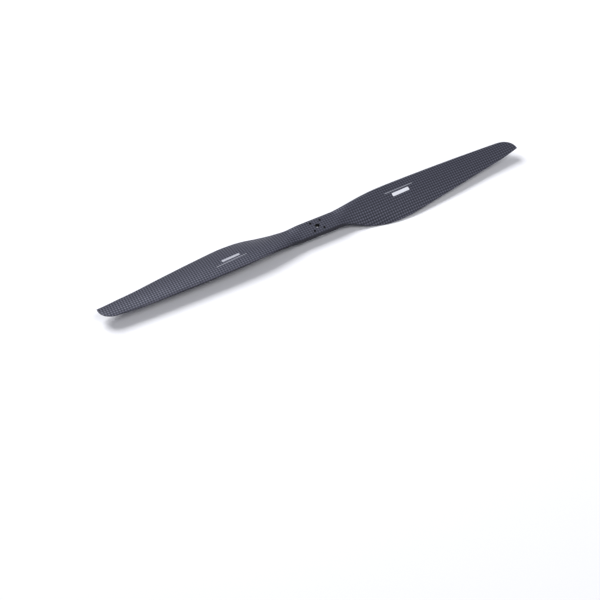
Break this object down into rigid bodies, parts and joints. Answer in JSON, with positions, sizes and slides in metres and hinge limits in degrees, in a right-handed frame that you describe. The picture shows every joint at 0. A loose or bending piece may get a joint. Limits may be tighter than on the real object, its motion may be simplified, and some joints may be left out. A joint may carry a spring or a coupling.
{
  "type": "multirotor propeller",
  "caption": "Fixed-pitch propeller with opposed slender twisted blades of woven carbon over foam, rounded tips and a flat slab hub with a bore and screw holes.",
  "frame": {"origin": "centre of the shaft bore on the hub's motor face", "axes": "+Z along the spin axis, the way the thrust acts; +X along a blade from hub to tip, with that blade's leading edge toward +Y"},
  "size_m": [0.5588, 0.059, 0.0173],
  "materials": {
    "woven_carbon": "matte woven carbon-fibre laminate, dark charcoal",
    "unidirectional_carbon": "unidirectional carbon fibre in epoxy",
    "carbon_laminate": "solid carbon laminate, drilled",
    "rigid_foam": "closed-cell rigid foam",
    "filled_resin": "fibre-filled epoxy"
  },
  "bodies": {
    "root": {"upper_skin": "woven_carbon", "lower_skin": "woven_carbon", "upper_spar_cap": "unidirectional_carbon", "lower_spar_cap": "unidirectional_carbon", "upper_hub_doubler": "carbon_laminate", "lower_hub_doubler": "carbon_laminate", "hub_block": "carbon_laminate", "foam_core_a": "rigid_foam", "leading_edge_roving_a": "unidirectional_carbon", "trailing_edge_strip_a": "unidirectional_carbon", "tip_filler_a": "filled_resin", "foam_core_b": "rigid_foam", "leading_edge_roving_b": "unidirectional_carbon", "trailing_edge_strip_b": "unidirectional_carbon", "tip_filler_b": "filled_resin"}
  },
  "joints": []
}
